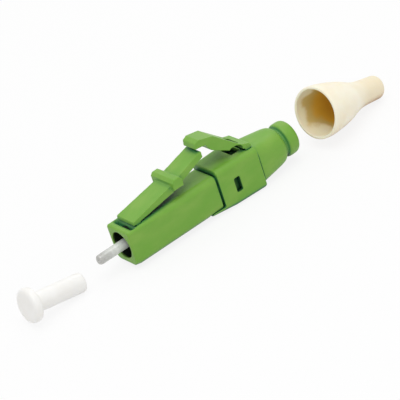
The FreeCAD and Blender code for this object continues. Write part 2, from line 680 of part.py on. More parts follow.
def make_boot():
    """A soft bell that narrows into a short tail tube, its mouth at its own origin."""
    body = body_named("boot")
    mouth = d.boot_mouth_radius
    throat = d.boot_tail_radius + d.boot_tail_taper
    bell_floor = d.boot_bell_length - d.boot_wall
    turned(body, "Revolution", "bell", [
        (0, mouth - d.boot_wall), (0, mouth), (-d.boot_band, mouth), (-d.boot_bell_length, throat),
        (-d.boot_length, d.boot_tail_radius), (-d.boot_length, d.boot_bore_radius),
        (-bell_floor, d.boot_bore_radius), (-bell_floor, throat - d.boot_wall),
        (-d.boot_band, mouth - d.boot_wall),
    ])
    waist = -d.boot_bell_length.value
    tail = -d.boot_length.value
    band = -d.boot_band.value
    dress(body, "Fillet", "waist", d.boot_bell_length * 0.45, lambda e: ring_at(e, waist, throat.value))
    dress(body, "Fillet", "shoulder", d.boot_band * 1.6, lambda e: ring_at(e, band, mouth.value))
    dress(body, "Fillet", "tail_end", d.boot_tail_round, lambda e: ring_at(e, tail, d.boot_tail_radius.value))
    dress(body, "Fillet", "mouth_lip", d.boot_wall * 0.4, lambda e: near(e.BoundBox.XMin, 0.0))
    lay_down(body, -d.boot_behind, d.boot_aside, d.boot_turn, d.boot_tilt, d.boot_tail_radius, d.boot_length)
    return body


def make_dust_cap():
    """A blind tube with a round head, its open end at its own origin."""
    body = body_named("dust_cap")
    neck = d.cap_length - d.cap_head_length
    turned(body, "Revolution", "outside", [
        (0, 0), (0, d.cap_tube_radius), (neck, d.cap_tube_radius), (neck, d.cap_head_radius),
        (d.cap_length, d.cap_head_radius), (d.cap_length, 0),
    ])
    dress(body, "Fillet", "head_round", d.cap_head_round,
          lambda e: any(ring_at(e, x.value, d.cap_head_radius.value) for x in (neck, d.cap_length)))
    dress(body, "Fillet", "open_end", d.cap_tube_radius * 0.2, lambda e: ring_at(e, 0.0, d.cap_tube_radius.value))
    bore = d.ferrule_radius + d.cap_clearance
    turned(body, "Groove", "bore", [
        (-d.overrun, 0), (-d.overrun, bore), (d.cap_bore_depth, bore), (d.cap_bore_depth, 0),
    ])
    lay_down(body, d.cap_ahead, -d.cap_aside, d.cap_turn, d.cap_tilt, d.cap_tube_radius, ONE * 0.0)
    return body


# ---------------------------------------------------------------- check and export

MAKERS = [
    make_front_housing, make_latch_arm, make_rear_housing, make_trigger_lever,
    make_ferrule, make_ferrule_flange, make_guide_tube, make_compression_spring,
    make_back_post, make_boot, make_dust_cap,
]
pieces = [make() for make in MAKERS]
doc.recompute()

broken = [o.Name for o in doc.Objects if "Invalid" in o.State or "Error" in o.State]
if broken:
    raise RuntimeError(f"failed objects: {broken}")
for piece in pieces:
    if piece.Shape.isNull() or not piece.Shape.isValid() or len(piece.Shape.Solids) != 1:
        raise RuntimeError(f"{piece.Label} is not one valid solid")
os.makedirs("parts", exist_ok=True)
for piece in pieces:
    shape = piece.Shape
    shape.exportStep(f"parts/{piece.Label}.step")
    box = shape.BoundBox
    print(f"{piece.Label:18s} volume {shape.Volume:8.3f} mm3 "
          f"x {box.XMin:.2f} to {box.XMax:.2f}, z {box.ZMin:.2f} to {box.ZMax:.2f}")
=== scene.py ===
# %% [markdown]
# # A latched fibre connector, with its boot and its dust cap pulled off
#
# This lesson dresses an engineering model in Blender. The construction comes from CAD as a
# fixed frame: eleven solids in metres, with +X the way the connector plugs in and +Z its latch
# side. What is left for Blender is what the eye judges by: edges that a mould has rounded, the
# sweep of turned and blown shapes, and the finish of nylon, zirconia, soft ivory and clear cap.
# Every surface is worked out with numpy as whole arrays of points. Turned pieces come from a
# profile that is carried round an axis, and moulded pieces from their solid, whose skin is
# recast as an even net and then relaxed. Sizes of pieces are in millimetres.

# %% The frame
import json
import math

import bmesh
import bpy
import numpy as np
from mathutils import Matrix, Vector


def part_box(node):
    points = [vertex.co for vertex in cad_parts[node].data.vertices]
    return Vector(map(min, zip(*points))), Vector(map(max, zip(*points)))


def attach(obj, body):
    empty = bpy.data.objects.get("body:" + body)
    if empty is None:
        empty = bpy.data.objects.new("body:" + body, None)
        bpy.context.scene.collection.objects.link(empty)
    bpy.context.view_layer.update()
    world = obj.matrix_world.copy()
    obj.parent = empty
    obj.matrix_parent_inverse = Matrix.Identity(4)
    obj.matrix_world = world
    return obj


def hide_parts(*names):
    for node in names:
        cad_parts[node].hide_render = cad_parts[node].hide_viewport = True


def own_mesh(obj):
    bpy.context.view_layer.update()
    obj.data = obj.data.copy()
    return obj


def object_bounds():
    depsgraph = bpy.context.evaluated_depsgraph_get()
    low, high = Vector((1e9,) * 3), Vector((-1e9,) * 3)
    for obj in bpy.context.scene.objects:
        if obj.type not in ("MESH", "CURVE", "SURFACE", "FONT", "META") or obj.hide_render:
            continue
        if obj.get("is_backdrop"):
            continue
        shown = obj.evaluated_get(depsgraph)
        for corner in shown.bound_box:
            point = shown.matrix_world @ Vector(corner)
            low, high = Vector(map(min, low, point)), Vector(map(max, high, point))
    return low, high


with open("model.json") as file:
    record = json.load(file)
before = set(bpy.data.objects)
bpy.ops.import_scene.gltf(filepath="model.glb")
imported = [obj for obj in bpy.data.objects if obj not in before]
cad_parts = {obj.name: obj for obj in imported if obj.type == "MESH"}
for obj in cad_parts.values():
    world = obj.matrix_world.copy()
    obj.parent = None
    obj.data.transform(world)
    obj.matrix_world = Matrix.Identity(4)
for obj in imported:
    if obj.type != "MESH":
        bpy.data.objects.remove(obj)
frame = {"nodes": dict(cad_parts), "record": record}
MM = 0.001
cad_low, cad_high = (list(corner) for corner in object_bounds())
print("nodes:", sorted(frame["nodes"]))
print("CAD box in mm:", [round(v / MM, 2) for v in cad_low + cad_high])

# %% [markdown]
# ## The camera
#
# The camera stands in front of the plug end, to one side and above it, and it leans a little,
# so that the connector runs from the lower left to the upper right. A long lens far away keeps
# the nose and the boot at nearly the same scale. The camera could be placed with a rotation
# matrix, but two angles, a distance and a lean are easier to reason about.

# %% The camera
AZIMUTH = math.radians(61.55)   # round the part, from +X towards +Y
ELEVATION = math.radians(28.55)
LEAN = math.radians(-18.83)
DISTANCE = 254.28 * MM
LENS, SENSOR = 193.4, 36.0      # in millimetres
LOOK_AT = Vector((-11.0, 0.0, 1.0)) * MM
AIM_RIGHT = 1.04 * MM           # how far beside LOOK_AT the lens points
AIM_DOWN = 1.07 * MM


def in_scene(name, data):
    """A new object with this data, linked into the scene."""
    thing = bpy.data.objects.new(name, data)
    bpy.context.collection.objects.link(thing)
    return thing


def place_camera():
    """Stand on a sphere round LOOK_AT, look at a point just beside it, then lean about the view."""
    flat = math.cos(ELEVATION)
    away = Vector((flat * math.cos(AZIMUTH), flat * math.sin(AZIMUTH), math.sin(ELEVATION)))
    level = Vector((0, 0, 1)).cross(away).normalized()
    upright = away.cross(level)
    right = level * math.cos(LEAN) + upright * math.sin(LEAN)
    up = upright * math.cos(LEAN) - level * math.sin(LEAN)
    place = LOOK_AT + away * DISTANCE
    back = (place - LOOK_AT - right * AIM_RIGHT + up * AIM_DOWN).normalized()
    right = up.cross(back).normalized()
    up = back.cross(right)
    data = bpy.data.cameras.new("camera")
    data.lens = LENS
    data.sensor_width = SENSOR
    data.clip_start = DISTANCE / 10
    data.clip_end = DISTANCE * 20
    camera = in_scene("camera", data)
    turn = Matrix((right, up, back)).transposed().to_4x4()
    camera.matrix_world = Matrix.Translation(place) @ turn
    bpy.context.scene.camera = camera
    return camera


camera = place_camera()
print("camera stands at, in mm:", [round(v / MM, 1) for v in camera.matrix_world.translation])

# %% [markdown]
# ## The light of the room
#
# A small glossy part is lit best by light from all round. The world could hold a sky, but an
# even white shows a colour as it was mixed. Whatever looks straight at the world, or sees it in
# a mirror or through clear plastic, finds full white, so the background stays white while the
# light that falls on the part is weaker. Two helpers come first.

# %% The light of the room
WORLD_STRENGTH = 0.73
bpy.context.scene.view_settings.view_transform = "Standard"


def node_of(tree, kind, **values):
    """Add a shader node and set its sockets or properties by name."""
    node = tree.nodes.new(kind)
    for name, value in values.items():
        socket = node.inputs.get(name.replace("_", " "))
        if socket is None:
            setattr(node, name, value)
        else:
            socket.default_value = value
    return node


def empty_tree(owner):
    """The node tree of a world or a material, switched on and emptied."""
    owner.use_nodes = True
    owner.node_tree.nodes.clear()
    return owner.node_tree


def seen_directly(tree):
    """One where the ray comes from the camera, a mirror or clear plastic, and zero elsewhere."""
    path = node_of(tree, "ShaderNodeLightPath")
    first = node_of(tree, "ShaderNodeMath", operation="MAXIMUM")
    both = node_of(tree, "ShaderNodeMath", operation="MAXIMUM")
    tree.links.new(path.outputs["Is Camera Ray"], first.inputs[0])
    tree.links.new(path.outputs["Is Glossy Ray"], first.inputs[1])
    tree.links.new(first.outputs[0], both.inputs[0])
    tree.links.new(path.outputs["Is Transmission Ray"], both.inputs[1])
    return both.outputs[0]


def light_world():
    """An even white sky, dimmed for everything but what looks straight at it."""
    world = bpy.data.worlds.new("white_room")
    bpy.context.scene.world = world
    tree = empty_tree(world)
    level = node_of(tree, "ShaderNodeMapRange", To_Min=WORLD_STRENGTH, To_Max=1.0)
    sky = node_of(tree, "ShaderNodeBackground", Color=(1, 1, 1, 1))
    out = node_of(tree, "ShaderNodeOutputWorld")
    tree.links.new(seen_directly(tree), level.inputs["Value"])
    tree.links.new(level.outputs[0], sky.inputs["Strength"])
    tree.links.new(sky.outputs[0], out.inputs["Surface"])


light_world()
print("the room lights the part with", WORLD_STRENGTH, "of full white")

# %% [markdown]
# ## The floor
#
# The floor is a sheet of white paper just under the part. Lit paper alone would look grey
# beside the white room, and a floor of plain white alone would lose the part's soft shadow. So
# whatever looks straight at the floor sees mostly plain white and a small share of lit paper,
# which keeps the shadow. All other light meets lit paper only.

# %% The floor
PAPER_WHITE = 0.86
PLAIN_SHARE = 0.85              # how much of the floor's look is plain white
FLOOR_GAP = 0.02 * MM
FLOOR_REACH = DISTANCE * 12


def white_paper():
    """Lit paper, mixed with plain white where the floor is seen directly."""
    paper = bpy.data.materials.new("white_paper")
    tree = empty_tree(paper)
    lit = node_of(tree, "ShaderNodeBsdfDiffuse", Color=(PAPER_WHITE, PAPER_WHITE, PAPER_WHITE, 1))
    plain = node_of(tree, "ShaderNodeEmission", Color=(1, 1, 1, 1), Strength=1.0)
    share = node_of(tree, "ShaderNodeMath", operation="MULTIPLY")
    share.inputs[1].default_value = PLAIN_SHARE
    mix = node_of(tree, "ShaderNodeMixShader")
    out = node_of(tree, "ShaderNodeOutputMaterial")
    tree.links.new(seen_directly(tree), share.inputs[0])
    tree.links.new(share.outputs[0], mix.inputs[0])
    tree.links.new(lit.outputs[0], mix.inputs[1])
    tree.links.new(plain.outputs[0], mix.inputs[2])
    tree.links.new(mix.outputs[0], out.inputs["Surface"])
    return paper


def lay_floor():
    """One large square just under the lowest point of the part."""
    level = cad_low[2] - FLOOR_GAP
    mesh = bpy.data.meshes.new("paper_floor")
    signs = ((-1, -1), (1, -1), (1, 1), (-1, 1))
    corners = [(x * FLOOR_REACH, y * FLOOR_REACH, level) for x, y in signs]
    mesh.from_pydata(corners, [], [(0, 1, 2, 3)])
    mesh.materials.append(white_paper())
    in_scene("paper_floor", mesh)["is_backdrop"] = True
    return level


print("floor lies at z =", round(lay_floor() / MM, 2), "mm")

# %% [markdown]
# ## The lamps
#
# Even light alone makes a part look flat. One broad lamp above gives the upper faces a little
# more than the cheeks, and a small weak one behind lifts the rear edges. Both are soft squares,
# because a small lamp throws a hard shadow.

# %% The lamps
def hang_lamp(name, place, size, watts):
    """A square soft lamp, at a place counted from the connector's middle, which it looks at."""
    data = bpy.data.lights.new(name, "AREA")
    data.shape = "SQUARE"
    data.size = size
    data.energy = watts
    lamp = in_scene(name, data)
    place = Vector(place)
    turn = place.to_track_quat("Z", "Y").to_matrix().to_4x4()
    lamp.matrix_world = Matrix.Translation(LOOK_AT + place) @ turn
    print(f"{name}: {place.length:.2f} m away, {size:.2f} m wide, {watts} W")


hang_lamp("lamp_above", place=(0.02, 0.10, 0.40), size=0.35, watts=0.69)
hang_lamp("lamp_behind", place=(-0.22, -0.16, 0.30), size=0.12, watts=0.10)

# %% [markdown]
# ## Nodes that every finish shares
#
# A finish is a small graph: a pattern read from the piece's own coordinates, colours that it
# mixes, and a fine unevenness that catches the light. A picture could be wrapped round the
# piece instead, but a pattern worked out in space needs no unwrapping, and it stays put when
# the piece moves. Numbers that are the same all over sit straight on the surface's sockets.

# %% Nodes for finishes
WHITE, BLACK = (1, 1, 1), (0, 0, 0)


def start_finish(name, **values):
    """A material with one principled surface, and its constants on the surface's sockets."""
    material = bpy.data.materials.new(name)
    tree = empty_tree(material)
    surface = node_of(tree, "ShaderNodeBsdfPrincipled", **values)
    out = node_of(tree, "ShaderNodeOutputMaterial")
    tree.links.new(surface.outputs[0], out.inputs["Surface"])
    return material, tree, surface


def grain(tree, cell, detail=3.0, stretch=(1.0, 1.0, 1.0)):
    """Cloudy noise from 0 to 1 with cells of a size in metres, drawn out along each axis by stretch."""
    place = node_of(tree, "ShaderNodeTexCoord")
    mapping = node_of(tree, "ShaderNodeMapping", Scale=tuple(1.0 / part for part in stretch))
    noise = node_of(tree, "ShaderNodeTexNoise", Scale=1.0 / cell, Detail=detail)
    tree.links.new(place.outputs["Object"], mapping.inputs["Vector"])
    tree.links.new(mapping.outputs[0], noise.inputs["Vector"])
    return noise.outputs[0]


def shades(tree, factor, *stops):
    """Colours at places from 0 to 1 along a ramp: (place, colour), mixed smoothly."""
    ramp = node_of(tree, "ShaderNodeValToRGB")
    ramp.color_ramp.interpolation = "EASE"
    while len(ramp.color_ramp.elements) < len(stops):
        ramp.color_ramp.elements.new(1.0)
    for element, (place, colour) in zip(ramp.color_ramp.elements, stops):
        element.position = place
        element.color = (*colour, 1.0)
    tree.links.new(factor, ramp.inputs[0])
    return ramp.outputs[0]


def mixed(tree, factor, first, second):
    """Mix two colours; each is a colour or the output of a node."""
    mix = node_of(tree, "ShaderNodeMix", data_type="RGBA")
    tree.links.new(factor, mix.inputs["Factor"])
    sockets = [socket for socket in mix.inputs if socket.type == "RGBA"]
    for socket, colour in zip(sockets, (first, second)):
        if isinstance(colour, tuple):
            socket.default_value = (*colour, 1.0)
        else:
            tree.links.new(colour, socket)
    return next(socket for socket in mix.outputs if socket.type == "RGBA")


def closed_in(tree, reach, shut, free):
    """One where, within reach, at most the share shut is open, falling to nought at the share free."""
    around = node_of(tree, "ShaderNodeAmbientOcclusion", Distance=reach, samples=8)
    return shades(tree, around.outputs["AO"], (shut, WHITE), (free, BLACK))


def mark_of(tree, name):
    """A number that the piece carries on every point."""
    return node_of(tree, "ShaderNodeAttribute", attribute_name=name).outputs["Fac"]


def uneven(tree, surface, height, depth):
    """Raise the surface by up to depth, in metres, where the pattern is bright."""
    bump = node_of(tree, "ShaderNodeBump", Strength=1.0, Distance=depth)
    tree.links.new(height, bump.inputs["Height"])
    tree.links.new(bump.outputs[0], surface.inputs["Normal"])


def roughened(tree, surface, pattern, low, high):
    """Roughness that follows a pattern, from low where it is dark to high where it is bright."""
    stretch = node_of(tree, "ShaderNodeMapRange", To_Min=low, To_Max=high)
    tree.links.new(pattern, stretch.inputs["Value"])
    tree.links.new(stretch.outputs[0], surface.inputs["Roughness"])


# %% [markdown]
# ## Green nylon
#
# The body, the latch, the clip, the trigger and the post are moulded from a filled nylon in
# the green that marks an angled polish. Nylon is never quite even: it flows into the mould in
# faint clouds, and its skin has a fine satin texture. Shade is painted into its colour: in
# corners the green is painted deeper and bluer, where light reaches only after it has met the
# plastic once before, and in caves it is painted nearly black. Corners and caves are found by
# how closed in the surface is. What lies in a bore or a window gets painted shade as well, so
# the pieces mark it with a number.

# %% Green nylon
LEAF_GREEN = (0.162, 0.375, 0.040)
SUNNY_GREEN = (0.212, 0.408, 0.058)
CORNER_SHADE_GREEN = (0.030, 0.205, 0.072)
CAVE_SHADE_GREEN = (0.002, 0.008, 0.002)
CORNER_REACH, CAVE_REACH = 1.1 * MM, 3.0 * MM


def green_nylon():
    """Clouds of two greens, with painted shade: deeper in corners, and nearly black in caves and marked
    bores.
    """
    material, tree, surface = start_finish(
        "green_nylon", Specular_IOR_Level=0.3, Coat_Weight=0.08, Coat_Roughness=0.3,
        Subsurface_Weight=0.06, Subsurface_Radius=(0.25, 0.60, 0.12), Subsurface_Scale=0.4 * MM)
    clouds = grain(tree, 2.4 * MM, stretch=(2.0, 1.0, 1.0))
    green = shades(tree, clouds, (0.35, LEAF_GREEN), (0.75, SUNNY_GREEN))
    # painted shade: deeper, bluer green in corners, nearly black in caves and in marked bores
    green = mixed(tree, closed_in(tree, CORNER_REACH, 0.42, 0.96), green, CORNER_SHADE_GREEN)
    green = mixed(tree, closed_in(tree, CAVE_REACH, 0.12, 0.38), green, CAVE_SHADE_GREEN)
    green = mixed(tree, mark_of(tree, "in_bore"), green, CAVE_SHADE_GREEN)
    tree.links.new(green, surface.inputs["Base Color"])
    satin = grain(tree, 0.09 * MM, detail=5.0)
    roughened(tree, surface, satin, 0.34, 0.52)
    uneven(tree, surface, satin, 0.004 * MM)
    return material


GREEN = green_nylon()
print("green nylon is a graph of", len(GREEN.node_tree.nodes), "nodes")

# %% [markdown]
# ## Zirconia
#
# The ferrule is zirconia, ground until it is almost a mirror, with a faint warm grain. The
# ceramic lets some light into it. Its colour is painted grey at the ground tip and paler towards
# its root, a painted highlight. It could be one colour, but the painted change along it and the
# fine rings that the grinding wheel left are what tell the eye that this is a ground ceramic rod.

# %% Zirconia
# painted light: the ferrule's colour is painted paler towards its root
TIP_SHADES = (0.38, 0.38, 0.35), (0.47, 0.47, 0.445)
ROOT_PAINTED_LIGHT = (0.68, 0.71, 0.67), (0.80, 0.83, 0.78)
TIP_FROM, ROOT_FROM = 3.0 * MM, 0.4 * MM  # along the ferrule, from the nose's face


def zirconia():
    """Two cloudy shades at the tip and two paler ones at the root, a painted highlight, mixed by the
    place along the ferrule.
    """
    material, tree, surface = start_finish(
        "ground_zirconia", IOR=2.1, Subsurface_Weight=0.25,
        Subsurface_Radius=(1.0, 0.95, 0.85), Subsurface_Scale=0.35 * MM)
    clouds = grain(tree, 0.5 * MM, detail=4.0)
    tip, root = (shades(tree, clouds, (0.3, dark), (0.7, light))
                 for dark, light in (TIP_SHADES, ROOT_PAINTED_LIGHT))
    place = node_of(tree, "ShaderNodeTexCoord")
    apart = node_of(tree, "ShaderNodeSeparateXYZ")
    inwards = node_of(tree, "ShaderNodeMapRange", From_Min=TIP_FROM, From_Max=ROOT_FROM)
    tree.links.new(place.outputs["Object"], apart.inputs[0])
    tree.links.new(apart.outputs["X"], inwards.inputs["Value"])
    tree.links.new(mixed(tree, inwards.outputs[0], tip, root), surface.inputs["Base Color"])
    rings = grain(tree, 0.06 * MM, stretch=(0.25, 3.0, 3.0))
    roughened(tree, surface, rings, 0.10, 0.26)
    uneven(tree, surface, rings, 0.0006 * MM)
    return material


ZIRCONIA = zirconia()
print("zirconia turns from tip to root over", round((TIP_FROM - ROOT_FROM) / MM, 2), "mm")

# %% [markdown]
# ## Nickel, wire and guide tube
#
# The flange is turned brass under nickel, so its gloss is drawn round the axis in fine rings.
# The spring is drawn wire, and the guide tube is plain milky plastic. One function makes both
# metals, because only their colour and the run of the tool's marks differ.

# %% Nickel, wire and guide tube
def turned_metal(name, dark, bright, cell, stretch):
    """Bare metal with fine marks of the tool, drawn out along the axis given by stretch."""
    material, tree, surface = start_finish(name, Metallic=1.0)
    marks = grain(tree, cell, detail=4.0, stretch=stretch)
    tree.links.new(shades(tree, marks, (0.25, dark), (0.75, bright)), surface.inputs["Base Color"])
    roughened(tree, surface, marks, 0.22, 0.46)
    uneven(tree, surface, marks, 0.002 * MM)
    return material


def milky_plastic(dark, light):
    """Two close shades in clouds, over a surface that light enters a little way."""
    material, tree, surface = start_finish(
        "milky_plastic", Roughness=0.35, Subsurface_Weight=0.3, Subsurface_Scale=0.2 * MM)
    milk = shades(tree, grain(tree, 0.7 * MM), (0.3, dark), (0.7, light))
    tree.links.new(milk, surface.inputs["Base Color"])
    uneven(tree, surface, grain(tree, 0.08 * MM), 0.001 * MM)
    return material


NICKEL = turned_metal("nickel_plate", (0.42, 0.39, 0.33), (0.68, 0.65, 0.58), 0.05 * MM, (0.3, 4.0, 4.0))
WIRE = turned_metal("spring_wire", (0.40, 0.40, 0.42), (0.66, 0.66, 0.68), 0.08 * MM, (1.0, 1.0, 1.0))
MILKY = milky_plastic((0.74, 0.74, 0.70), (0.86, 0.86, 0.83))
print("hidden finishes:", NICKEL.name, WIRE.name, MILKY.name)

# %% [markdown]
# ## Ivory elastomer
#
# The boot is a soft, slightly see-through ivory elastomer, browner towards its tail, with
# painted shade on its shaded underside. Inside its bell the colour is painted light and shade:
# amber where light comes back through the wall, browner the deeper it goes. A finish can't tell
# by itself how deep in the bell a point lies, so the piece carries two numbers on every point,
# depth and towards_tail, and the finish turns them into colours.

# %% Ivory elastomer
IVORY_PALE = (0.95, 0.90, 0.74)
IVORY_WARM = (0.90, 0.81, 0.61)
IVORY_TAIL = (0.83, 0.72, 0.50)
IVORY_SHADED = (0.52, 0.34, 0.18)
AMBER_PALE = (0.93, 0.87, 0.64)
AMBER_OLIVE = (0.66, 0.50, 0.16)
AMBER_DEEP = (0.78, 0.47, 0.050)
NEARLY_ALL = (0.9, 0.9, 0.9)
UNDERSIDE_REACH = 4.0 * MM
AMBER_DRIFT = 0.35              # how far the clouds shift the amber's shades


def ivory_elastomer():
    """Ivory clouds, with painted shade underneath, and in the bell the painted amber of (depth +
    AMBER_DRIFT * clouds).
    """
    material, tree, surface = start_finish(
        "ivory_elastomer", Subsurface_Weight=0.12, Subsurface_Radius=(1.0, 0.7, 0.35),
        Subsurface_Scale=0.5 * MM, Sheen_Weight=0.1)
    ivory = shades(tree, grain(tree, 3.0 * MM), (0.3, IVORY_PALE), (0.75, IVORY_WARM))
    ivory = mixed(tree, mark_of(tree, "towards_tail"), ivory, IVORY_TAIL)
    # painted shade: the underside, closed in near the floor, is painted browner
    ivory = mixed(tree, closed_in(tree, UNDERSIDE_REACH, 0.22, 0.62), ivory, IVORY_SHADED)
    # painted light and shade in the bell: amber, browner deeper in, paler in two lit patches
    depth = mark_of(tree, "depth")
    drift = node_of(tree, "ShaderNodeMath", operation="MULTIPLY_ADD")
    drift.inputs[1].default_value = AMBER_DRIFT
    tree.links.new(grain(tree, 1.8 * MM), drift.inputs[0])
    tree.links.new(depth, drift.inputs[2])
    amber = shades(tree, drift.outputs[0], (0.24, AMBER_PALE), (0.38, AMBER_OLIVE), (0.62, AMBER_DEEP))
    inside = shades(tree, depth, (0.01, BLACK), (0.10, NEARLY_ALL), (0.4, WHITE))
    tree.links.new(mixed(tree, inside, ivory, amber), surface.inputs["Base Color"])
    satin = grain(tree, 0.12 * MM, detail=5.0)
    roughened(tree, surface, satin, 0.42, 0.62)
    uneven(tree, surface, satin, 0.005 * MM)
    return material


IVORY = ivory_elastomer()
print("ivory elastomer is a graph of", len(IVORY.node_tree.nodes), "nodes")

# %% [markdown]
# ## Clear cap
#
# The cap is milky polyethylene, so cloudy that it looks white, with a faint warm haze. A glass
# finish would be wrong: this plastic scatters nearly all the light that enters it. So it is a
# pale surface with some light under its skin, and only a little goes straight through.

# %% Clear cap
CAP_CLEAR = (0.94, 0.93, 0.905)
CAP_HAZE = (0.91, 0.895, 0.86)


def clear_polyethylene():
    """A pale haze in clouds, with a satin skin and a little straight transmission."""
    material, tree, surface = start_finish(
        "clear_polyethylene", IOR=1.5, Transmission_Weight=0.04, Subsurface_Weight=0.2,
        Subsurface_Radius=(1.0, 0.97, 0.9), Subsurface_Scale=0.8 * MM)
    haze = shades(tree, grain(tree, 1.6 * MM), (0.3, CAP_CLEAR), (0.75, CAP_HAZE))
    tree.links.new(haze, surface.inputs["Base Color"])
    satin = grain(tree, 0.10 * MM, detail=4.0)
    roughened(tree, surface, satin, 0.24, 0.40)
    uneven(tree, surface, satin, 0.002 * MM)
    return material


CLEAR = clear_polyethylene()
print("clear polyethylene is a graph of", len(CLEAR.node_tree.nodes), "nodes")

# %% [markdown]
# ## From a grid of points to a piece
#
# A turned piece is a sheet with two parameters: the place along its profile and the angle
# round its axis. Rows follow the profile, columns the angle, and neighbouring points make
# quads. Where a profile touches the axis its row shrinks to one point, so doubles are merged
# and normals worked out afresh. Blender's Screw modifier could turn a profile too, but in an
# array any row can still be bent, cut or marked.

# %% From a grid to a piece
def ring_quads(rows, around, closed):
    """Quads between neighbouring rows of a grid whose columns close into rings."""
    row = np.arange(rows if closed else rows - 1)[:, None]
    column = np.arange(around)[None, :]
    below, beside = (row + 1) % rows, (column + 1) % around
    corners = (row * around + column, row * around + beside,
               below * around + beside, below * around + column)
    return np.stack(np.broadcast_arrays(*corners), axis=-1).reshape(-1, 4)


def close_seams(mesh):
    """Merge doubles and turn every face outwards."""
    net = bmesh.new()
    net.from_mesh(mesh)
    bmesh.ops.remove_doubles(net, verts=net.verts, dist=0.0001 * MM)
    bmesh.ops.recalc_face_normals(net, faces=net.faces)
    net.to_mesh(mesh)
    net.free()


def body_of(node):
    """The moving body that a CAD node belongs to."""
    groups = frame["record"]["behaviour"]["bodies"]
    return next(body for body, members in groups.items() if node in members)


def make_piece(name, points, faces, stands_for, slot, finish, **marks):
    """Put points, faces and marks into a mesh, close its seams, attach it to its node's body, and hide
    the node.
    """
    mesh = bpy.data.meshes.new(name)
    mesh.from_pydata(points.tolist(), [], faces.tolist())
    for mark, values in marks.items():
        mesh.attributes.new(mark, "FLOAT", "POINT").data.foreach_set("value", values)
    close_seams(mesh)
    mesh.polygons.foreach_set("use_smooth", np.ones(len(mesh.polygons), bool))
    mesh.materials.append(finish)
    piece = in_scene(name, mesh)
    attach(piece, body_of(stands_for))
    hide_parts(stands_for)
    size = np.ptp(points, axis=0) / MM
    print(f"{name}: {len(mesh.polygons)} faces, {size[0]:.2f} x {size[1]:.2f} x {size[2]:.2f} mm")
    return piece


# %% [markdown]
# ## Profiles with soft corners
#
# A profile is written as the few corners that its maker would measure, each with how far from
# it its rounding starts. Arcs could round them, but a bow between two cut points also works
# where long sides meet at a flat angle. Then points are added along the sides, so that the
# quads stay small and the marks and bends have something to work on.

# %% Profiles
def rounded(corners, closed=True, steps=9):
    """Round each corner (along, radius, cut): leave its sides at the cut and bow between them.

    The bow is (1-t)^2 * start + 2t(1-t) * corner + t^2 * end, worked out for all corners at once.
    """
    corners = np.array(corners, float)
    spot, cut = corners[:, :2], corners[:, 2:]
    t = np.linspace(0.0, 1.0, steps)[None, :, None]

    def towards(other):
        """The point at the cut towards another corner, but short of half way."""
        side = other - spot
        length = np.maximum(np.linalg.norm(side, axis=1, keepdims=True), 1e-12)
        return spot + side / length * np.minimum(cut, 0.49 * length)

    start, end = towards(np.roll(spot, 1, axis=0)), towards(np.roll(spot, -1, axis=0))
    if not closed:
        start[0] = end[0] = spot[0]
        start[-1] = end[-1] = spot[-1]
    bows = (1 - t) ** 2 * start[:, None] + 2 * t * (1 - t) * spot[:, None] + t ** 2 * end[:, None]
    return bows.reshape(-1, 2)


def evenly(profile, closed=True, step=0.14 * MM):
    """Keep every point of a profile, and add points so that none are further apart than step."""
    if closed:
        profile = np.vstack([profile, profile[:1]])
    lengths = np.linalg.norm(np.diff(profile, axis=0), axis=1)
    profile = profile[np.concatenate([[True], lengths > 1e-9])]
    run = np.concatenate([[0.0], np.cumsum(np.linalg.norm(np.diff(profile, axis=0), axis=1))])
    every = np.union1d(run, np.arange(0.0, run[-1], step))
    every = every[np.concatenate([[True], np.diff(every) > step * 0.02])]
    dense = np.stack([np.interp(every, run, profile[:, k]) for k in (0, 1)], axis=1)
    return dense[:-1] if closed else dense


# %% [markdown]
# ## The lathe
#
# Every round piece is turned in the same way: carry the profile round the axis, bend the grid
# if the piece isn't quite round, and work out the numbers that its finish reads. A loose piece
# is turned round its own axis, so it needs no placing afterwards.

# %% The lathe
AROUND = 144                    # columns round a turned piece
ANGLES = np.linspace(0.0, 2 * np.pi, AROUND, endpoint=False)


def turn_profile(profile, place, axis):
    """place + along * axis + radius * (cos(angle) * side + sin(angle) * up), as a grid of points."""
    axis = np.array(axis, float) / np.linalg.norm(axis)
    side = np.cross([0.0, 0.0, 1.0], axis)
    side /= np.linalg.norm(side)
    up = np.cross(axis, side)
    angle = ANGLES[None, :, None]
    along, radius = profile[:, 0][:, None, None], profile[:, 1][:, None, None]
    ring = np.cos(angle) * side + np.sin(angle) * up
    return np.array(place) + along * axis + radius * ring


def turned_piece(name, corners, stands_for, slot, finish,
                 place=(0, 0, 0), axis=(1, 0, 0), closed=True, bend=None, **marks):
    """A lathe: corners are (along, radius, cut) in mm; marks are made from along, radius and angle."""
    profile = evenly(rounded(np.array(corners) * MM, closed), closed)
    points = turn_profile(profile, place, axis)
    if bend:
        points = bend(points)
    along, radius = profile[:, :1] / MM, profile[:, 1:] / MM
    marks = {mark: work(along, radius, ANGLES).ravel() for mark, work in marks.items()}
    faces = ring_quads(len(profile), AROUND, closed)
    return make_piece(name, points.reshape(-1, 3), faces, stands_for, slot, finish, **marks)


def span(node):
    """A node's lowest and highest corner in millimetres."""
    return tuple(np.array(corner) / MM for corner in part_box(node))


# %% [markdown]
# ## The post behind the clip
#
# The green post closes the body's rear. A shank holds it in the clip. Behind the clip its neck
# starts as a rounded square, like the clip's end, narrows to a round waist, and is followed by
# a bead with a well rounded shoulder, over which the boot snaps. One closed profile runs along
# the outside and comes back through the bore, and a bend then squares the neck. The post could
# be lofted from two outlines, but a bend is shorter and keeps the bead round.

